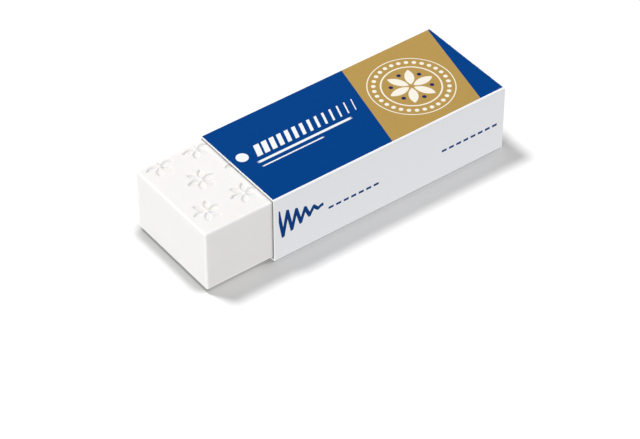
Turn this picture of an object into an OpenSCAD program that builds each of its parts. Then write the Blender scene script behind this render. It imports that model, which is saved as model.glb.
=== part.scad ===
// Vinyl drawing eraser in a printed card sleeve that slides along it.
// Millimetres. +X runs along the eraser from its bare end to its covered end and +Z is up.
// The origin lies under the middle of the block, on the plane that the sleeve rests on.

/* [Eraser block] */
// Length of the block
block_length = 65; // [50:1:90]
// Width of the block
block_width = 20.8; // [17:0.1:30]
// Height of the block
block_height = 12.6; // [8:0.1:20]
// Radius of all the block's edges
block_edge_radius = 0.3; // [0.2:0.05:1.2]

/* [Pressed pattern] */
// Distance from a rosette's middle to the tips of its petals
rosette_radius = 2.6; // [2:0.1:3.2]
// Distance between the rosettes of a row
rosette_pitch = 7.7; // [6.8:0.1:12]
// Distance between two rows
row_pitch = 7.2; // [6.6:0.1:12]
// Distance from the bare end to the first rosette of the rear row
first_rosette = 3.9; // [3.5:0.1:10]
// Distance from the rear edge to the middle of the rear row, less than a radius so that the edge cuts it
rear_row_inset = 1.4; // [1:0.1:8]
// Width of a petal at its middle
petal_width = 0.95; // [0.5:0.05:1.2]
// Distance from the rosette's middle to the petal roots
petal_root = 0.35; // [0.3:0.05:0.8]
// Depth of the pressed petals
pressed_depth = 0.2; // [0.1:0.02:0.4]

/* [Card sleeve] */
// Length of the sleeve, which is flush with the block's covered end
sleeve_length = 51; // [30:1:70]
// Thickness of the card
card_thickness = 0.3; // [0.2:0.01:0.6]
// Inside radius of the folds
fold_radius = 0.15; // [0.05:0.01:0.4]
// Running gap between the block and the card on every side
slide_clearance = 0.2; // [0.05:0.01:0.3]
// Distance from the front wall to the free edge of the glued flap
flap_free_gap = 4; // [1:0.5:12]
// Distance from the rear fold's start to the cut edge of the outer bottom panel
seam_setback = 0.15; // [0.05:0.05:3]

/* [Printed fields] */
// White strip that the print leaves along the front folds
print_margin = 0.5; // [0.1:0.05:2]
// Distance from the sleeve's open end to the gold band, at the middle of the panel
gold_start = 28.3; // [5:0.1:40]
// Length of the gold band along the sleeve
gold_length = 19.8; // [5:0.1:30]
// How far the gold band leans towards the covered end from the front to the rear
gold_lean = 5; // [0:0.1:12]

/* [Colours] */
// Colour of the vinyl
vinyl_colour = "#f7f6f3"; // [#f7f6f3:White, #efe6d2:Cream, #dfe8ee:Pale blue]
// Colour of the bare card
card_colour = "#f1f2f5"; // [#f1f2f5:White, #e9e2d3:Natural]
// Colour of the printed panels
panel_ink_colour = "#00468c"; // [#00468c:Blue, #7a1f2b:Red, #1f5a3a:Green]
// Colour of the slanted band
band_ink_colour = "#b99850"; // [#b99850:Gold, #a9adb3:Silver]

/* [Hidden] */
$fn = 64;
petal_count = 6;
// Overshoot of a cutting tool past the face it cuts
cut_over = 1;

// The cavity that the block slides in, and the sleeve's outside
cavity_width = block_width + 2 * slide_clearance;
sleeve_width = cavity_width + 2 * card_thickness;
// The bottom is two layers of card, the outer panel and the flap glued on it
floor_height = 2 * card_thickness;
cavity_height = block_height + 2 * slide_clearance;
sleeve_height = floor_height + cavity_height + card_thickness;
outer_fold_radius = fold_radius + card_thickness;
sleeve_start = block_length / 2 - sleeve_length;
block_middle_height = floor_height + slide_clearance + block_height / 2;
block_top = block_middle_height + block_height / 2;
// The print colours the outer half of the card
ink_depth = card_thickness / 2;

// A rectangle about the origin with round corners
module rounded_rectangle(width, height, radius) {
    square([width - 2 * radius, height], center = true);
    square([width, height - 2 * radius], center = true);
    for (x = [-1, 1], y = [-1, 1])
        translate([x * (width / 2 - radius), y * (height / 2 - radius)])
            circle(radius);
}

// An outline drawn in Y and Z, run along +X from the plane x = 0
module run_along_x(length) {
    rotate([90, 0, 90])
        linear_extrude(length)
            children();
}

// A block about the origin with every edge rounded: three rounded bars, one along each axis, share it
module rounded_block(length, width, height, radius) {
    intersection() {
        translate([-length / 2, 0, 0])
            run_along_x(length)
                rounded_rectangle(width, height, radius);
        rotate([90, 0, 0])
            linear_extrude(width, center = true)
                rounded_rectangle(length, height, radius);
        linear_extrude(height, center = true)
            rounded_rectangle(length, width, radius);
    }
}

// A pointed petal along +X from root to tip, the lens that two equal circles share
module petal(root, tip, width) {
    length = tip - root;
    radius = (length * length + width * width) / (4 * width);
    translate([(root + tip) / 2, 0])
        intersection_for (side = [-1, 1])
            translate([0, side * (radius - width / 2)])
                circle(radius);
}

// Petals round a middle, as a pair of compasses draws them
module rosette() {
    for (turn = [0 : petal_count - 1])
        rotate(turn * 360 / petal_count)
            petal(petal_root, rosette_radius, petal_width);
}

// Staggered rows from the rear edge to the front, with whole rosettes only along each row
module rosette_rows() {
    whole_margin = rosette_radius + block_edge_radius;
    last_row = floor((block_width - rear_row_inset - whole_margin) / row_pitch);
    row_end = block_length - whole_margin;
    for (row = [0 : last_row]) {
        stagger = row % 2 == 0 ? 0 : rosette_pitch / 2;
        row_y = block_width / 2 - rear_row_inset - row * row_pitch;
        for (x = [first_rosette + stagger : rosette_pitch : row_end])
            translate([x - block_length / 2, row_y])
                rosette();
    }
}

module eraser_block() {
    color(vinyl_colour)
        difference() {
            translate([0, 0, block_middle_height])
                rounded_block(block_length, block_width, block_height, block_edge_radius);
            translate([0, 0, block_top - pressed_depth])
                linear_extrude(pressed_depth + cut_over)
                    rosette_rows();
        }
}

// Outside of the folded card, in Y and Z: the wrap, and the outer bottom panel that ends in a cut edge
module sleeve_outside() {
    wrap_height = sleeve_height - card_thickness;
    panel_width = sleeve_width - outer_fold_radius - seam_setback;
    translate([0, card_thickness + wrap_height / 2])
        rounded_rectangle(sleeve_width, wrap_height, outer_fold_radius);
    intersection() {
        translate([0, sleeve_height / 2])
            rounded_rectangle(sleeve_width, sleeve_height, outer_fold_radius);
        translate([-sleeve_width / 2, 0])
            square([panel_width, sleeve_height]);
    }
}

// Inside of the folded card, in Y and Z: the cavity above the flap, and the strip beside the flap's free edge
module sleeve_inside() {
    strip_height = cavity_height + card_thickness;
    translate([0, floor_height + cavity_height / 2])
        rounded_rectangle(cavity_width, cavity_height, fold_radius);
    intersection() {
        translate([0, card_thickness + strip_height / 2])
            rounded_rectangle(cavity_width, strip_height, fold_radius);
        translate([-cavity_width / 2, 0])
            square([flap_free_gap, sleeve_height / 2]);
    }
}

module folded_card() {
    translate([sleeve_start, 0, 0])
        run_along_x(sleeve_length)
            difference() {
                sleeve_outside();
                sleeve_inside();
            }
}

// Seen from above, a printed panel: from the white strip at the front, over the rear edge
module printed_panel() {
    translate([sleeve_start - cut_over, print_margin - sleeve_width / 2])
        square([sleeve_length + 2 * cut_over, sleeve_width]);
}

// Seen from above, the gold band: it leans on the flat of the panel and runs square over the rear fold
module gold_band() {
    flat_rear = sleeve_width / 2 - outer_fold_radius;
    rear_lean = gold_lean * flat_rear / sleeve_width;
    intersection() {
        printed_panel();
        translate([sleeve_start + gold_start, 0])
            polygon([
                [-gold_lean, -sleeve_width],
                [gold_length - gold_lean, -sleeve_width],
                [gold_length + rear_lean, flat_rear],
                [gold_length + rear_lean, sleeve_width],
                [rear_lean, sleeve_width],
                [rear_lean, flat_rear],
            ]);
    }
}

// Ink on the outer half of the top panel
module ink_above() {
    translate([0, 0, sleeve_height - ink_depth])
        linear_extrude(ink_depth + cut_over)
            children();
}

// Ink on the outer half of the bottom panel
module ink_below() {
    translate([0, 0, -cut_over])
        linear_extrude(ink_depth + cut_over)
            children();
}

module blue_ink() {
    ink_above()
        difference() {
            printed_panel();
            gold_band();
        }
    ink_below()
        printed_panel();
}

module gold_ink() {
    ink_above()
        gold_band();
}

module card_sleeve() {
    color(card_colour)
        difference() {
            folded_card();
            blue_ink();
            gold_ink();
        }
    color(panel_ink_colour)
        intersection() {
            folded_card();
            blue_ink();
        }
    color(band_ink_colour)
        intersection() {
            folded_card();
            gold_ink();
        }
}

eraser_block();
card_sleeve();
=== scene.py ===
"""A white vinyl eraser in its folded and printed card sleeve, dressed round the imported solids."""
import math

import bpy
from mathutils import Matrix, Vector


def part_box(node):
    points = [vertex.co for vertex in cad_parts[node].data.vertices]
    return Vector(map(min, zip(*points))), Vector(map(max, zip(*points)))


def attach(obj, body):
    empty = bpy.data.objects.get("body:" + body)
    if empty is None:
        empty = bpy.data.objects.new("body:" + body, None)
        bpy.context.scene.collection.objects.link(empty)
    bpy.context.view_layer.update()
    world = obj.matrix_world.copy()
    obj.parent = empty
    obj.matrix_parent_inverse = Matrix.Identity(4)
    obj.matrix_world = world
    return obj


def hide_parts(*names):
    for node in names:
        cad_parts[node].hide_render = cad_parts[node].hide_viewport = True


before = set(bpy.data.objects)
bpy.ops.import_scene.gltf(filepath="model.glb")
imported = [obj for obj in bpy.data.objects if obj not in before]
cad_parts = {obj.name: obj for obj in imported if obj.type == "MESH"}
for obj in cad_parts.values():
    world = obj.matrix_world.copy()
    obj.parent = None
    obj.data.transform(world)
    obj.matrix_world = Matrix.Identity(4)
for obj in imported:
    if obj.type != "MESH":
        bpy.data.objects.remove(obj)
bpy.context.view_layer.update()

MM = 0.001

# The folded card, as its solid is made
CARD = 0.3 * MM
FOLD_RADIUS = 0.15 * MM
FLAP_GAP = 4.0 * MM
SEAM_SETBACK = 0.15 * MM
GLUE_LINE = 0.02 * MM
FOLD_STEPS = 10
END_SHARE = 0.0001
FOLD_ANGLE = math.radians(40)
# A face counts as facing along an axis when its normal has at least this share of it
FACING = 0.5

sleeve_low, sleeve_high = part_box("card_sleeve")
SLEEVE_START = sleeve_low.x
SLEEVE_LENGTH = sleeve_high.x - sleeve_low.x
SLEEVE_WIDTH = sleeve_high.y - sleeve_low.y
SLEEVE_HEIGHT = sleeve_high.z - sleeve_low.z

# The block and its pressed rosettes, as its solid is made, and the soft shoulder of each pressed petal
EDGE_RADIUS = 0.3 * MM
ROSETTE_RADIUS = 2.6 * MM
ROSETTE_PITCH = 7.7 * MM
ROW_PITCH = 7.2 * MM
FIRST_ROSETTE = 3.9 * MM
REAR_ROW_INSET = 1.4 * MM
PETAL_COUNT = 6
PETAL_ROOT = 0.35 * MM
PETAL_WIDTH = 0.95 * MM
PRESSED_DEPTH = 0.2 * MM
SHOULDER = 0.3 * MM

# The block's mesh: points along and across it, rings on its walls, and how close points are joined
BLOCK_COLUMNS = 465
BLOCK_ROWS = 151
WALL_RINGS = 8
WELD = 0.001 * MM
# Shares of the edge radius, from one ring to the next, and from the walls to the one face of the bottom
RING_STEP = 0.5
FLAT_INSET = 2.0

block_low, block_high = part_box("eraser_block")
BLOCK_LENGTH = block_high.x - block_low.x
BLOCK_WIDTH = block_high.y - block_low.y
BLOCK_HEIGHT = block_high.z - block_low.z

# The photo's viewpoint: a long lens, looking down past the bare end
VIEW_AZIMUTH = math.radians(-36.89)
VIEW_ELEVATION = math.radians(41.74)
VIEW_DISTANCE = 484.2 * MM
VIEW_TARGET = Vector((-4.64, -5.41, -1.46)) * MM
LENS = 153.9
CLIP_START = 0.01
CLIP_END = 10.0


class Socket:
    """One output of a node. Arithmetic on it adds Math nodes to its tree."""

    def __init__(self, tree, link):
        self.tree = tree
        self.link = link

    def out(self, name):
        """Another output of the same node."""
        return Socket(self.tree, self.link.node.outputs[name])

    def math(self, operation, *others):
        values = dict(enumerate((self, *others)))
        return self.tree.node("ShaderNodeMath", values, operation=operation)

    def __add__(self, other):
        return self.math("ADD", other)

    def __sub__(self, other):
        return self.math("SUBTRACT", other)

    def __rsub__(self, other):
        return self.tree.node("ShaderNodeMath", {0: other, 1: self}, operation="SUBTRACT")

    def __mul__(self, other):
        return self.math("MULTIPLY", other)

    def __truediv__(self, other):
        return self.math("DIVIDE", other)

    def __rtruediv__(self, other):
        return self.tree.node("ShaderNodeMath", {0: other, 1: self}, operation="DIVIDE")

    def __neg__(self):
        return self * -1.0

    def __abs__(self):
        return self.math("ABSOLUTE")

    def __gt__(self, other):
        return self.math("GREATER_THAN", other)

    def __lt__(self, other):
        return self.math("LESS_THAN", other)

    __radd__ = __add__
    __rmul__ = __mul__

    def least(self, other):
        return self.math("MINIMUM", other)

    def most(self, other):
        return self.math("MAXIMUM", other)

    def clamped(self, low=0.0, high=1.0):
        return self.most(low).least(high)

    def floor(self):
        return self.math("FLOOR")

    def nearest(self):
        return self.math("ROUND")

    def fraction(self):
        return self - self.floor()

    def root(self):
        return self.math("SQRT")

    def sine(self):
        return self.math("SINE")

    def cosine(self):
        return self.math("COSINE")

    def angle_to(self, other):
        """The angle whose tangent is this value over the other."""
        return self.math("ARCTAN2", other)


class Tree:
    """A node tree whose nodes all come from one method."""

    def __init__(self, nodes):
        self.nodes = nodes

    def node(self, kind, values=None, output=0, items=(), **settings):
        """A new node, from its type, its settings and items, and then its sockets by name or number."""
        made = self.nodes.nodes.new(kind)
        for name, setting in settings.items():
            setattr(made, name, setting)
        for collection, arguments in items:
            getattr(made, collection).new(*arguments)
        for key, value in (values or {}).items():
            for one in value if isinstance(value, list) else [value]:
                if isinstance(one, Socket):
                    self.nodes.links.new(one.link, made.inputs[key])
                else:
                    made.inputs[key].default_value = one
        return Socket(self, made.outputs[output]) if made.outputs else None

    def mixed(self, share, low, high):
        """A colour between two, by a share from 0 to 1."""
        return self.node("ShaderNodeMix", {0: share, 6: low, 7: high}, output=2, data_type="RGBA")

    def vector(self, operation, *vectors, output=0):
        return self.node("ShaderNodeVectorMath", dict(enumerate(vectors)), output, operation=operation)

    def joined(self, x=0.0, y=0.0, z=0.0):
        """A vector from its three parts."""
        return self.node("ShaderNodeCombineXYZ", {"X": x, "Y": y, "Z": z})

    def parts(self, vector):
        """The three parts of a vector."""
        split = self.node("ShaderNodeSeparateXYZ", {"Vector": vector})
        return [split.out(axis) for axis in "XYZ"]


def far(x, y):
    """The length of a line with these two parts."""
    return (x * x + y * y).root()


def between(value, low, high):
    """How far a value lies inside a range."""
    return (value - low).least(high - value)


def folded(x, y, count):
    """A point turned into the first of equal sectors about the origin, whose middle lies along +x."""
    sector = 2 * math.pi / count
    turn = ((y.angle_to(x) / sector + 0.5).fraction() - 0.5) * sector
    reach = far(x, y)
    return reach * turn.cosine(), reach * turn.sine()


def inside_petals(x, y, count, root, tip, width):
    """How far a point lies inside the nearest petal round the origin, each drawn by two equal arcs."""
    length = tip - root
    radius = (length * length + width * width) / (width * 4)
    petal_x, petal_y = folded(x, y, count)
    return radius - far(petal_x - (root + tip) / 2, abs(petal_y) + (radius - width / 2))


def grey(level):
    """A linear colour with three equal parts."""
    return level, level, level, 1.0


def linear(red, green, blue):
    """A display colour, each part from 0 to 255, as the linear colour that a shader takes."""

    def part(value):
        share = value / 255
        return share / 12.92 if share <= 0.04045 else ((share + 0.055) / 1.055) ** 2.4

    return part(red), part(green), part(blue), 1.0


def new_material(name):
    """An empty material, and its tree."""
    material = bpy.data.materials.new(name)
    material.use_nodes = True
    material.node_tree.nodes.clear()
    return material, Tree(material.node_tree)


def finish_material(tree, values):
    """A Principled surface with these sockets, as the material's output."""
    surface = tree.node("ShaderNodeBsdfPrincipled", values)
    tree.node("ShaderNodeOutputMaterial", {"Surface": surface})


def object_place(tree):
    """Where a point lies in the frame that all pieces share."""
    return tree.node("ShaderNodeTexCoord", output="Object")


def grain(tree, place, size, detail=3.0):
    """Noise between 0 and 1 whose grains are about this size, in metres."""
    values = {"Vector": place, "Scale": 1 / size, "Detail": detail, "Roughness": GRAIN_ROUGHNESS}
    return tree.node("ShaderNodeTexNoise", values)


def open_air(tree, margin):
    """From 0, where faces within reach hide the view, to 1 in the open, with a margin at both ends."""
    values = {"Distance": GAP_REACH}
    openness = tree.node("ShaderNodeAmbientOcclusion", values, output="AO", samples=GAP_SAMPLES)
    return ((openness - margin) / (1 - 2 * margin)).clamped()


def attribute(tree, name):
    """A value that the mesh carries at each point."""
    return tree.node("ShaderNodeAttribute", attribute_name=name, output="Fac")


def bumped(tree, height):
    """A normal for a relief of this height, in metres."""
    return tree.node("ShaderNodeBump", {"Height": height, "Distance": 1.0})


def panel_middles():
    """Where the middle of each panel lies along the strip, from the flap's free edge, in millimetres."""
    bend = (FOLD_RADIUS + CARD / 2) / MM
    arc = bend * math.pi / 2
    width, height, card = SLEEVE_WIDTH / MM, SLEEVE_HEIGHT / MM, CARD / MM
    lengths = {
        "flap": width - 1.5 * card - FLAP_GAP / MM - bend,
        "rear": height - 2 * card - GLUE_LINE / MM - 2 * bend,
        "top": width - card - 2 * bend,
        "front": height - card - 2 * bend,
        "bottom": width - bend - card / 2 - (FOLD_RADIUS + CARD + SEAM_SETBACK) / MM,
    }
    middles = {}
    start = 0.0
    for name, length in lengths.items():
        middles[name] = start + length / 2
        start += length + arc
    return middles


PANEL = panel_middles()

# Ink and stock colours, and the layout of the print in millimetres
CARD_WHITE = linear(246, 247, 250)
WHITE_PRINT = linear(238, 239, 241)
BLUE_INKS = linear(0, 58, 126), linear(0, 66, 136)
NAVY_INK = linear(34, 38, 92)
GOLD_INKS = linear(174, 142, 77), linear(184, 152, 87)
CREAM_INK = linear(241, 235, 220)

PRINT_FRONT = 10.4
PRINT_REAR = 10.75
GOLD_START = 28.3
GOLD_LENGTH = 19.8
GOLD_LEAN = 5.0
INK_EDGE = 0.03
SCUFF_WIDTH = 0.25

# A disc, and leaning bars from bold to fine, over two tapered rules: the level, stroke and end of each
BARS_START = 4.4
BAR_COUNT = 14
BAR_PITCH = 1.6
BAR_BOLD = 1.15
BAR_FINE = 0.2
BAR_LEAN = 0.35
BARS_LOW = 0.3
BARS_HIGH = 3.2
RULE_START = 4.0
RULES = ((-0.95, 0.55, 24.0), (-2.25, 0.3, 17.0))
DISC_PLACE = (2.4, 1.75)
DISC_RADIUS = 1.15

# A compass-drawn flower in a ring and a ring of beads, on the gold band
FLOWER_PLACE = (38.0, -0.4)
FLOWER_PETALS = 6
FLOWER_ROOT = 0.5
FLOWER_TIP = 4.7
FLOWER_PETAL_WIDTH = 1.75
DOT_ORBIT = 3.7
DOT_RADIUS = 0.42
RING_RADIUS = 5.5
RING_STROKE = 0.3
BEAD_COUNT = 30
BEAD_ORBIT = 6.8
BEAD_RADIUS = 0.42
OUTER_RING_RADIUS = 7.95
OUTER_RING_STROKE = 0.2

# A scribble that dies away, and two dashed rules: the start and the number of dashes of each
SCRIBBLE_START = 0.9
SCRIBBLE_LENGTH = 9.6
SCRIBBLE_LEVEL = 0.9
SCRIBBLE_HEIGHT = 6.0
SCRIBBLE_PITCH = 1.9
SCRIBBLE_STROKE = 0.7
DASH_LEVEL = -0.6
DASH_STROKE = 0.5
DASH_PITCH = 1.65
DASH_LENGTH = 1.1
DASHES = ((11.6, 7), (36.8, 8))

# How much finer detail the grain of every finish has
GRAIN_ROUGHNESS = 0.6

# The coated and printed face: its fine tooth, which ink smooths, its mottled ink and its scuffed ends
COAT_ROUGHNESS = 0.5
COAT_SHINE = 0.02
INK_SMOOTHING = 0.1
INK_MOTTLE = 0.5 * MM
SCUFF_GRAIN = 0.4 * MM
TOOTH = 0.12 * MM
TOOTH_HEIGHT = 0.006 * MM
TOOTH_ROUGHENING = 0.1

# The bare card: its fibres on the inside and at the cuts
INSIDE_WHITES = linear(206, 204, 200), linear(226, 225, 221)
INSIDE_FIBRE = 0.25 * MM
INSIDE_ROUGHNESS = 0.9
CUT_WHITES = linear(244, 244, 244), linear(254, 254, 253)
CUT_FIBRE = 0.08 * MM
CUT_ROUGHNESS = 0.95
FIBRE_HEIGHT = 0.02 * MM
FIBRE_SHINE = 0.1

# The vinyl: its clouded white, its pores, a painted highlight along the edges of its long sides, which
# are also rubbed smoother, and how deep light of each colour goes in
VINYL_WHITES = linear(236, 234, 232), linear(240, 238, 236)
VINYL_CLOUD = 4.0 * MM
VINYL_ROUGHNESS = 0.48
VINYL_SHINE = 0.25
PORE = 0.15 * MM
PORE_HEIGHT = 0.008 * MM
PORE_ROUGHENING = 0.12
# The painted highlight on the long edges: its white, its width, which also sets where they are rubbed
# smoother, and its patches
HIGHLIGHT_WHITE = linear(254, 252, 249)
HIGHLIGHT_AND_RUB_WIDTH = 0.45 * MM
HIGHLIGHT_PATCH = 1.5 * MM
RUBBED_SMOOTHING = 0.12
LIGHT_DEPTH = 0.35 * MM
LIGHT_DEPTH_SHARES = (1.0, 0.92, 0.84)
# The shoulders of the pressed petals are shaded as if pressed deeper by this share
SHOULDER_SHADE = 0.45

# A painted shade darkens the narrow gap at the sleeve's ends, and tight hollows, below the faces beside
# them
GAP_REACH = 0.6 * MM
GAP_SHADE = linear(80, 76, 72)
GAP_SAMPLES = 12
GAP_DEPTH = 0.4 * MM
CUT_GAP_MARGIN = 0.3
VINYL_GAP_MARGIN = 0.1


def ink(distance):
    """A mask of a shape, from the distance in millimetres that a point lies inside it."""
    return (distance / INK_EDGE + 0.5).clamped()


def bars_and_rules(along, across):
    """The white print on the blue field of the top panel."""
    step = (along - across * BAR_LEAN - BARS_START) / BAR_PITCH
    number = step.floor()
    width = BAR_BOLD - number * ((BAR_BOLD - BAR_FINE) / (BAR_COUNT - 1))
    bar = width * 0.5 - abs(step - number - 0.5) * BAR_PITCH
    row = between(across, BARS_LOW, BARS_HIGH).least(between(step, 0.0, BAR_COUNT))
    mask = ink(bar.least(row))
    for level, stroke, end in RULES:
        taper = between(along, RULE_START, end) / (end - RULE_START)
        rule = stroke * 0.5 - abs(across - level)
        mask = mask.most(ink(rule.least(taper)))
    disc = DISC_RADIUS - far(along - DISC_PLACE[0], across - DISC_PLACE[1])
    return mask.most(ink(disc))


def flower(along, across):
    """The cream print on the gold band, and the navy dots between its petals."""
    x, y = along - FLOWER_PLACE[0], across - FLOWER_PLACE[1]
    reach = far(x, y)
    petals = inside_petals(x, y, FLOWER_PETALS, FLOWER_ROOT, FLOWER_TIP, FLOWER_PETAL_WIDTH)
    ring = RING_STROKE / 2 - abs(reach - RING_RADIUS)
    outer_ring = OUTER_RING_STROKE / 2 - abs(reach - OUTER_RING_RADIUS)
    bead_x, bead_y = folded(x, y, BEAD_COUNT)
    beads = BEAD_RADIUS - far(bead_x - BEAD_ORBIT, bead_y)
    half_turn = math.pi / FLOWER_PETALS
    turned_x = x * math.cos(half_turn) + y * math.sin(half_turn)
    turned_y = y * math.cos(half_turn) - x * math.sin(half_turn)
    dot_x, dot_y = folded(turned_x, turned_y, FLOWER_PETALS)
    dots = DOT_RADIUS - far(dot_x - DOT_ORBIT, dot_y)
    return ink(petals.most(ring).most(outer_ring).most(beads)), ink(dots)


def scribble_and_dashes(along, up):
    """The blue print on the white front side."""
    share = (along - SCRIBBLE_START) / SCRIBBLE_LENGTH
    swing = (1 - share) * (SCRIBBLE_HEIGHT / 2)
    # The zigzag runs from 1 to -1 and back in each pitch, a climb of 4 in all
    wave = abs(((along - SCRIBBLE_START) / SCRIBBLE_PITCH).fraction() - 0.5) * 4.0 - 1.0
    slope = swing * (4 / SCRIBBLE_PITCH)
    rise = up - SCRIBBLE_LEVEL
    line = SCRIBBLE_STROKE / 2 - abs(rise - wave * swing) / (slope * slope + 1.0).root()
    line = line.least(swing + SCRIBBLE_STROKE / 2 - abs(rise))
    mask = ink(line.least(between(share, 0.0, 1.0) * SCRIBBLE_LENGTH))
    for start, count in DASHES:
        step = (along - start) / DASH_PITCH
        dash = DASH_LENGTH / 2 - abs(step.fraction() * DASH_PITCH - DASH_LENGTH / 2)
        dash = dash.least(DASH_STROKE / 2 - abs(up - DASH_LEVEL))
        mask = mask.most(ink(dash.least(between(step, 0.0, count))))
    return mask


def printed_card():
    """Coated card with its print, laid out on the flat sheet."""
    material, tree = new_material("printed_card")
    place = object_place(tree)
    along = (tree.parts(place)[0] - SLEEVE_START) / MM
    across = attribute(tree, "across") / MM
    from_top = PANEL["top"] - across
    from_front = PANEL["front"] - across
    from_bottom = PANEL["bottom"] - across

    on_top = ink(between(from_top, -PRINT_FRONT, PRINT_REAR))
    on_bottom = ink(PRINT_FRONT - from_bottom)
    on_front = ink(SLEEVE_HEIGHT / MM / 2 - abs(from_front))
    blue = on_top.most(on_bottom).most(scribble_and_dashes(along, from_front) * on_front)
    lean = from_top * (GOLD_LEAN / (SLEEVE_WIDTH / MM))
    gold = ink(between(along - lean, GOLD_START, GOLD_START + GOLD_LENGTH)) * on_top
    cream, navy = flower(along, from_top)

    mottle = grain(tree, place, INK_MOTTLE)
    colour = tree.mixed(blue, CARD_WHITE, tree.mixed(mottle, *BLUE_INKS))
    colour = tree.mixed(bars_and_rules(along, from_top) * on_top, colour, WHITE_PRINT)
    colour = tree.mixed(gold, colour, tree.mixed(mottle, *GOLD_INKS))
    colour = tree.mixed(cream * on_top, colour, CREAM_INK)
    colour = tree.mixed(navy * on_top, colour, NAVY_INK)
    from_cut = between(along, 0.0, SLEEVE_LENGTH / MM)
    scuffed = ink(grain(tree, place, SCUFF_GRAIN) * SCUFF_WIDTH - from_cut)
    colour = tree.mixed(scuffed, colour, CARD_WHITE)

    tooth = grain(tree, place, TOOTH)
    finish_material(tree, {
        "Base Color": colour,
        "Roughness": COAT_ROUGHNESS - blue * INK_SMOOTHING + tooth * TOOTH_ROUGHENING,
        "Specular IOR Level": COAT_SHINE,
        "Normal": bumped(tree, tooth * TOOTH_HEIGHT),
    })
    return material


def bare_card():
    """The uncoated inside of the card, with its fibres."""
    material, tree = new_material("card_inside")
    place = object_place(tree)
    fibres = grain(tree, place, INSIDE_FIBRE, detail=5.0)
    finish_material(tree, {
        "Base Color": tree.mixed(fibres, *INSIDE_WHITES),
        "Roughness": INSIDE_ROUGHNESS,
        "Specular IOR Level": FIBRE_SHINE,
        "Normal": bumped(tree, fibres * FIBRE_HEIGHT),
    })
    return material


def cut_card():
    """The white, fibrous edge where the card was cut, with a painted shade where it lies close to the
    block.
    """
    material, tree = new_material("card_cut_edge")
    place = object_place(tree)
    fibres = grain(tree, place, CUT_FIBRE, detail=4.0)
    colour = tree.mixed(fibres, *CUT_WHITES)
    finish_material(tree, {
        "Base Color": tree.mixed(open_air(tree, CUT_GAP_MARGIN), GAP_SHADE, colour),
        "Roughness": CUT_ROUGHNESS,
        "Specular IOR Level": FIBRE_SHINE,
        "Normal": bumped(tree, fibres * FIBRE_HEIGHT),
    })
    return material


def white_vinyl():
    """Soft white vinyl, with a painted highlight along the edges of its long sides, which are also
    rubbed smoother, and a painted shade in narrow gaps where it enters the sleeve.
    """
    material, tree = new_material("white_vinyl")
    place = object_place(tree)
    cloud = grain(tree, place, VINYL_CLOUD)
    pores = grain(tree, place, PORE, detail=4.0)
    highlight_patches = grain(tree, place, HIGHLIGHT_PATCH)
    edge = attribute(tree, "edge")
    colour = tree.mixed(cloud, *VINYL_WHITES)
    # A painted highlight, in patches, along the edges of the long sides
    colour = tree.mixed((edge * (highlight_patches + 1.0)).clamped(), colour, HIGHLIGHT_WHITE)
    # Painted shade in narrow gaps, near where the block enters the sleeve and in its pressed hollows
    covered = between(tree.parts(place)[0], SLEEVE_START, SLEEVE_START + SLEEVE_LENGTH)
    shaded = (1 - open_air(tree, VINYL_GAP_MARGIN)) * (covered < GAP_DEPTH)
    colour = tree.mixed(shaded, colour, GAP_SHADE)
    finish_material(tree, {
        "Base Color": colour,
        "Roughness": VINYL_ROUGHNESS + pores * PORE_ROUGHENING - edge * RUBBED_SMOOTHING,
        "Specular IOR Level": VINYL_SHINE,
        "Subsurface Weight": 1.0,
        "Subsurface Radius": LIGHT_DEPTH_SHARES,
        "Subsurface Scale": LIGHT_DEPTH,
        "Normal": bumped(tree, pores * PORE_HEIGHT - attribute(tree, "pressed") * SHOULDER_SHADE),
    })
    return material


def new_geometry_tree(name, lengths, materials):
    """An empty Geometry Nodes tree with named inputs, and a dict of those inputs."""
    group = bpy.data.node_groups.new(name, "GeometryNodeTree")
    group.interface.new_socket("Geometry", in_out="OUTPUT", socket_type="NodeSocketGeometry")
    for label in lengths:
        group.interface.new_socket(label, in_out="INPUT", socket_type="NodeSocketFloat")
    for label in materials:
        group.interface.new_socket(label, in_out="INPUT", socket_type="NodeSocketMaterial")
    tree = Tree(group)
    given = tree.node("NodeGroupInput")
    return tree, {label: given.out(label) for label in (*lengths, *materials)}


def made_by(tree, name, values):
    """A plain mesh object from a Geometry Nodes tree, with its modifier gone."""
    carrier = bpy.data.objects.new(name + "_carrier", bpy.data.meshes.new(name + "_carrier"))
    bpy.context.scene.collection.objects.link(carrier)
    modifier = carrier.modifiers.new(name, "NODES")
    modifier.node_group = tree.nodes
    for item in tree.nodes.interface.items_tree:
        if item.in_out == "INPUT":
            modifier[item.identifier] = values[item.name]
    graph = bpy.context.evaluated_depsgraph_get()
    mesh = bpy.data.meshes.new_from_object(carrier.evaluated_get(graph))
    bpy.data.objects.remove(carrier)
    mesh.name = name
    piece = bpy.data.objects.new(name, mesh)
    bpy.context.scene.collection.objects.link(piece)
    return piece


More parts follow.
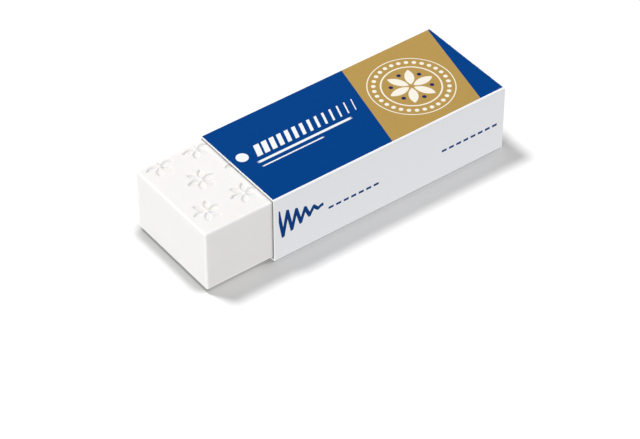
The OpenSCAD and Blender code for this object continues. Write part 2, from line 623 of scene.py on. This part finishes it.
def folded_strip():
    """A strip of card, folded round the block and lapped under it, as a Geometry Nodes tree."""
    tree, given = new_geometry_tree(
        "folded strip",
        ("Start", "Length", "Width", "Height", "Card", "Fold radius", "Flap gap", "Seam setback",
         "Glue line"),
        ("Printed face", "Inside face", "Cut edge"),
    )
    half_card = given["Card"] * 0.5
    rear = given["Width"] * 0.5 - half_card
    top = given["Height"] - half_card
    flap_level = given["Card"] * 1.5 + given["Glue line"]
    flap_edge = given["Flap gap"] + given["Card"] - given["Width"] * 0.5
    seam_edge = given["Width"] * 0.5 - given["Fold radius"] - given["Card"] - given["Seam setback"]
    corners = (
        (flap_edge, flap_level),
        (rear, flap_level),
        (rear, top),
        (-rear, top),
        (-rear, half_card),
        (seam_edge, half_card),
    )
    choices = {str(number): tree.joined(0.0, across, up) for number, (across, up) in enumerate(corners)}
    # A new switch has two items already
    corner = tree.node(
        "GeometryNodeIndexSwitch",
        {"Index": tree.node("GeometryNodeInputIndex"), **choices},
        items=[("index_switch_items", ())] * (len(corners) - 2),
        data_type="VECTOR",
    )
    line = tree.node("GeometryNodeMeshLine", {"Count": len(corners)})
    line = tree.node("GeometryNodeSetPosition", {"Geometry": line, "Position": corner})
    route = tree.node("GeometryNodeMeshToCurve", {"Mesh": line})
    route = tree.node("GeometryNodeFilletCurve", {
        "Curve": route,
        "Count": FOLD_STEPS,
        "Radius": given["Fold radius"] + half_card,
    }, mode="POLY")

    measure = tree.node("GeometryNodeSplineParameter")
    route = tree.node(
        "GeometryNodeCaptureAttribute",
        {"Geometry": route, "Across": measure.out("Length"), "Share": measure.out("Factor")},
        items=[("capture_items", ("FLOAT", "Across")), ("capture_items", ("FLOAT", "Share"))],
    )
    section = tree.node("GeometryNodeCurvePrimitiveQuadrilateral", {
        "Width": given["Length"],
        "Height": given["Card"],
    }, mode="RECTANGLE")
    sheet = tree.node("GeometryNodeCurveToMesh", {
        "Curve": route,
        "Profile Curve": section,
        "Fill Caps": True,
    })
    shift = tree.joined(given["Start"] + given["Length"] * 0.5)
    sheet = tree.node("GeometryNodeTransform", {"Geometry": sheet, "Translation": shift})
    sheet = tree.node("GeometryNodeStoreNamedAttribute", {
        "Geometry": sheet,
        "Name": "across",
        "Value": route.out("Across"),
    }, data_type="FLOAT", domain="POINT")

    bend = tree.node("GeometryNodeInputMeshEdgeAngle", output="Unsigned Angle")
    values = {"Geometry": sheet, "Shade Smooth": True}
    sheet = tree.node("GeometryNodeSetShadeSmooth", values, domain="FACE")
    sheet = tree.node("GeometryNodeSetShadeSmooth", {
        "Geometry": sheet,
        "Selection": bend > FOLD_ANGLE,
        "Shade Smooth": False,
    }, domain="EDGE")

    facing = tree.node("GeometryNodeInputNormal")
    middle = tree.joined(0.0, 0.0, given["Height"] * 0.5)
    outward = tree.vector("SUBTRACT", tree.node("GeometryNodeInputPosition"), middle)
    inside = tree.vector("DOT_PRODUCT", facing, outward, output="Value") < 0.0
    strip_end = abs(route.out("Share") - 0.5) > 0.5 - END_SHARE
    cut = (abs(tree.parts(facing)[0]) > FACING).most(strip_end)
    sheet = tree.node("GeometryNodeRealizeInstances", {"Geometry": sheet})
    sheet = tree.node("GeometryNodeSetMaterial", {"Geometry": sheet, "Material": given["Printed face"]})
    for chosen, face in ((inside, "Inside face"), (cut, "Cut edge")):
        values = {"Geometry": sheet, "Selection": chosen, "Material": given[face]}
        sheet = tree.node("GeometryNodeSetMaterial", values)
    tree.node("NodeGroupOutput", {"Geometry": sheet})
    return tree


def pressed_petals(given, x, y):
    """How deep each point of the block's top is pressed, from 0 to 1, in staggered rows of rosettes."""
    whole = given["Rosette radius"] + given["Edge radius"]
    from_bare_end = x + given["Length"] * 0.5
    from_rear = given["Width"] * 0.5 - y
    last_row = ((given["Width"] - given["Rear row inset"] - whole) / given["Row pitch"]).floor()
    row = ((from_rear - given["Rear row inset"]) / given["Row pitch"]).nearest().clamped(0.0, last_row)
    start = given["First rosette"] + (row * 0.5).fraction() * given["Rosette pitch"]
    last_rosette = ((given["Length"] - whole - start) / given["Rosette pitch"]).floor()
    number = ((from_bare_end - start) / given["Rosette pitch"]).nearest().clamped(0.0, last_rosette)
    inside = inside_petals(
        from_bare_end - start - number * given["Rosette pitch"],
        from_rear - given["Rear row inset"] - row * given["Row pitch"],
        PETAL_COUNT,
        given["Petal root"],
        given["Rosette radius"],
        given["Petal width"],
    )
    share = (inside / given["Shoulder"] + 0.5).clamped()
    return share * share * (3 - share * 2)


def pressed_block():
    """A block with round edges and rows of rosettes pressed into its top, as a Geometry Nodes tree."""
    tree, given = new_geometry_tree(
        "pressed block",
        ("Length", "Width", "Height", "Base", "Edge radius", "Rosette radius", "Rosette pitch",
         "Row pitch", "First rosette", "Rear row inset", "Petal root", "Petal width", "Pressed depth",
         "Shoulder", "Highlight and rub width"),
        ("Vinyl",),
    )
    radius = given["Edge radius"]
    half_length, half_width, half_height = (given[side] * 0.5 for side in ("Length", "Width", "Height"))
    block = tree.node("GeometryNodeMeshCube", {
        "Size": tree.joined(given["Length"], given["Width"], given["Height"]),
        "Vertices X": BLOCK_COLUMNS,
        "Vertices Y": BLOCK_ROWS,
        "Vertices Z": WALL_RINGS,
    })

    # The rings of the walls move close to the upper and the lower edge
    place = tree.node("GeometryNodeInputPosition")
    x, y, z = tree.parts(place)
    last_ring = WALL_RINGS - 1
    ring = (z / given["Height"] + 0.5) * last_ring
    low = ring * radius * RING_STEP - half_height
    high = half_height - (last_ring - ring) * radius * RING_STEP
    upper = ring > last_ring / 2
    ringed = tree.joined(x, y, low + (high - low) * upper)
    block = tree.node("GeometryNodeSetPosition", {"Geometry": block, "Position": ringed})

    # The flat of the bottom becomes one face
    facing_z = tree.parts(tree.node("GeometryNodeInputNormal"))[2]
    inset = radius * FLAT_INSET
    flat = (abs(x) < half_length - inset) * (abs(y) < half_width - inset) * (facing_z < -FACING)
    values = {"Geometry": block, "Selection": flat}
    block = tree.node("GeometryNodeDeleteGeometry", values, domain="FACE")
    open_edge = tree.node("GeometryNodeInputMeshEdgeNeighbors") < 2.0
    rim = tree.node("GeometryNodeMeshToCurve", {"Mesh": block, "Selection": open_edge})
    plate = tree.node("GeometryNodeFillCurve", {"Curve": rim}, mode="NGONS")
    plate = tree.node("GeometryNodeFlipFaces", {"Mesh": plate})
    plate = tree.node("GeometryNodeTransform", {
        "Geometry": plate,
        "Translation": tree.joined(0.0, 0.0, -half_height),
    })
    block = tree.node("GeometryNodeJoinGeometry", {"Geometry": [block, plate]})
    block = tree.node("GeometryNodeMergeByDistance", {"Geometry": block, "Distance": WELD})

    # Every edge and corner is rounded about the box that lies one radius inside
    reach = tree.joined(half_length - radius, half_width - radius, half_height - radius)
    opposite = tree.vector("SUBTRACT", (0.0, 0.0, 0.0), reach)
    core = tree.vector("MAXIMUM", tree.vector("MINIMUM", place, reach), opposite)
    outward = tree.vector("NORMALIZE", tree.vector("SUBTRACT", place, core))
    offset = tree.vector("MULTIPLY", outward, tree.joined(radius, radius, radius))
    rounded = tree.vector("ADD", core, offset)

    # The edges of the two long sides get a painted highlight and are rubbed smoother
    from_end, from_side, from_face = half_length - abs(x), half_width - abs(y), half_height - abs(z)
    from_edge = from_side.most(from_end.least(from_face))
    block = tree.node("GeometryNodeStoreNamedAttribute", {
        "Geometry": block,
        "Name": "edge",
        "Value": (1 - from_edge / given["Highlight and rub width"]).clamped(),
    }, data_type="FLOAT", domain="POINT")
    block = tree.node("GeometryNodeSetPosition", {"Geometry": block, "Position": rounded})

    # The stamp takes down only what stands higher than its face
    stamped = z.least(half_height - pressed_petals(given, x, y) * given["Pressed depth"])
    block = tree.node("GeometryNodeStoreNamedAttribute", {
        "Geometry": block,
        "Name": "pressed",
        "Value": z - stamped,
    }, data_type="FLOAT", domain="POINT")
    pressed = tree.joined(x, y, stamped + half_height + given["Base"])
    block = tree.node("GeometryNodeSetPosition", {"Geometry": block, "Position": pressed})
    values = {"Geometry": block, "Shade Smooth": True}
    block = tree.node("GeometryNodeSetShadeSmooth", values, domain="FACE")
    block = tree.node("GeometryNodeRealizeInstances", {"Geometry": block})
    block = tree.node("GeometryNodeSetMaterial", {"Geometry": block, "Material": given["Vinyl"]})
    tree.node("NodeGroupOutput", {"Geometry": block})
    return tree


def card_sleeve():
    """The folded sleeve, in place of its solid."""
    sleeve = made_by(folded_strip(), "sleeve", {
        "Start": SLEEVE_START,
        "Length": SLEEVE_LENGTH,
        "Width": SLEEVE_WIDTH,
        "Height": SLEEVE_HEIGHT,
        "Card": CARD,
        "Fold radius": FOLD_RADIUS,
        "Flap gap": FLAP_GAP,
        "Seam setback": SEAM_SETBACK,
        "Glue line": GLUE_LINE,
        "Printed face": printed_card(),
        "Inside face": bare_card(),
        "Cut edge": cut_card(),
    })
    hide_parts("card_sleeve")
    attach(sleeve, "sleeve")


def eraser_block():
    """The pressed block, in place of its solid."""
    block = made_by(pressed_block(), "vinyl_block", {
        "Length": BLOCK_LENGTH,
        "Width": BLOCK_WIDTH,
        "Height": BLOCK_HEIGHT,
        "Base": block_low.z,
        "Edge radius": EDGE_RADIUS,
        "Rosette radius": ROSETTE_RADIUS,
        "Rosette pitch": ROSETTE_PITCH,
        "Row pitch": ROW_PITCH,
        "First rosette": FIRST_ROSETTE,
        "Rear row inset": REAR_ROW_INSET,
        "Petal root": PETAL_ROOT,
        "Petal width": PETAL_WIDTH,
        "Pressed depth": PRESSED_DEPTH,
        "Shoulder": SHOULDER,
        "Highlight and rub width": HIGHLIGHT_AND_RUB_WIDTH,
        "Vinyl": white_vinyl(),
    })
    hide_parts("eraser_block")
    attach(block, "block")


# Studio light: what each source gives a white surface that faces it, where 1 renders white
SKY_LIGHT = 0.4
KEY_LIGHT = 0.69
FILL_LIGHT = 0.31
KEY_FROM = Vector((-0.18, 0.39, 1.0))
FILL_FROM = Vector((-0.9, -0.44, 0.22))
LAMP_DISTANCE = 2.0
KEY_SIZE = 0.44
FILL_SIZE = 1.2

# The floor: its white, the light of its own that lifts the shadow, and its even glow on the object
FLOOR_SIZE = 6.0
FLOOR_WHITE = 0.95
FLOOR_LIFT = 0.03
FLOOR_GLOW = 0.94
# How soon that glow is full again beside the object's underside
GLOW_GAIN = 3.0

# The soft contact shadow on the floor, deepest beside the bare end
CONTACT_REACH = 3.6 * MM
CONTACT_TILT = Vector((1.0, -0.6, 1.0)).normalized()
CONTACT_GAIN = 2.8
CONTACT_DARKEST = 0.45
CONTACT_SAMPLES = 16


def camera_rays(tree):
    """1 for rays that show the background: straight to the camera, or in a gloss or through glass."""
    paths = [tree.node("ShaderNodeLightPath", output=name)
             for name in ("Is Camera Ray", "Is Glossy Ray", "Is Transmission Ray")]
    return paths[0].most(paths[1]).most(paths[2])


def white_floor():
    """A white floor that keeps the object's shadow."""
    mesh = bpy.data.meshes.new("floor")
    half = FLOOR_SIZE / 2
    corners = [(-half, -half, 0), (half, -half, 0), (half, half, 0), (-half, half, 0)]
    mesh.from_pydata(corners, [], [(0, 1, 2, 3)])
    floor = bpy.data.objects.new("floor", mesh)
    bpy.context.scene.collection.objects.link(floor)
    material, tree = new_material("white_floor")
    seen = camera_rays(tree)
    beside = tree.node("ShaderNodeAmbientOcclusion", {
        "Distance": CONTACT_REACH,
        "Normal": tree.joined(*CONTACT_TILT),
    }, output="AO", samples=CONTACT_SAMPLES)
    hidden = 1 - beside
    contact = (1 - hidden * hidden * CONTACT_GAIN).most(CONTACT_DARKEST)
    white = tree.mixed(contact, grey(0.0), grey(FLOOR_WHITE))
    matt = tree.node("ShaderNodeBsdfDiffuse", {"Color": white})
    lift = tree.node("ShaderNodeEmission", {"Strength": FLOOR_LIFT})
    shown = tree.node("ShaderNodeAddShader", {0: matt, 1: lift})
    even = tree.mixed((beside * GLOW_GAIN).clamped(), grey(0.0), grey(FLOOR_GLOW))
    glow = tree.node("ShaderNodeEmission", {"Color": even})
    surface = tree.node("ShaderNodeMixShader", {0: seen, 1: glow, 2: shown})
    tree.node("ShaderNodeOutputMaterial", {"Surface": surface})
    mesh.materials.append(material)


def white_sky():
    """A soft even light from all round, white behind the object."""
    world = bpy.data.worlds.new("studio")
    bpy.context.scene.world = world
    world.use_nodes = True
    world.node_tree.nodes.clear()
    tree = Tree(world.node_tree)
    seen = camera_rays(tree)
    strength = seen + (1 - seen) * SKY_LIGHT
    sky = tree.node("ShaderNodeBackground", {"Color": grey(1.0), "Strength": strength})
    tree.node("ShaderNodeOutputWorld", {"Surface": sky})


def soft_lamp(name, light, source, size):
    """A round lamp that shines on the origin from this direction, and gives this much light there.

    A flat lamp's light at a distance is its power over pi and the square of that distance. A white
    surface there sends a share of 1 / pi of it each way, so pi comes in twice.
    """
    lamp = bpy.data.lights.new(name, "AREA")
    lamp.shape = "DISK"
    lamp.size = size
    lamp.energy = light * (math.pi * LAMP_DISTANCE) ** 2
    holder = bpy.data.objects.new(name, lamp)
    bpy.context.scene.collection.objects.link(holder)
    direction = source.normalized()
    holder.location = direction * LAMP_DISTANCE
    holder.rotation_mode = "QUATERNION"
    holder.rotation_quaternion = direction.to_track_quat("Z", "Y")


def photo_camera():
    """A camera at the photo's viewpoint."""
    lens = bpy.data.cameras.new("camera")
    lens.lens = LENS
    lens.clip_start = CLIP_START
    lens.clip_end = CLIP_END
    camera = bpy.data.objects.new("camera", lens)
    bpy.context.scene.collection.objects.link(camera)
    level = math.cos(VIEW_ELEVATION)
    back = Vector((
        math.sin(VIEW_AZIMUTH) * level,
        -math.cos(VIEW_AZIMUTH) * level,
        math.sin(VIEW_ELEVATION),
    ))
    camera.location = VIEW_TARGET + back * VIEW_DISTANCE
    camera.rotation_mode = "QUATERNION"
    camera.rotation_quaternion = (-back).to_track_quat("-Z", "Y")
    bpy.context.scene.camera = camera


bpy.context.scene.view_settings.view_transform = "Standard"
card_sleeve()
eraser_block()
white_floor()
white_sky()
soft_lamp("key", KEY_LIGHT, KEY_FROM, KEY_SIZE)
soft_lamp("fill", FILL_LIGHT, FILL_FROM, FILL_SIZE)
photo_camera()

bpy.context.view_layer.update()
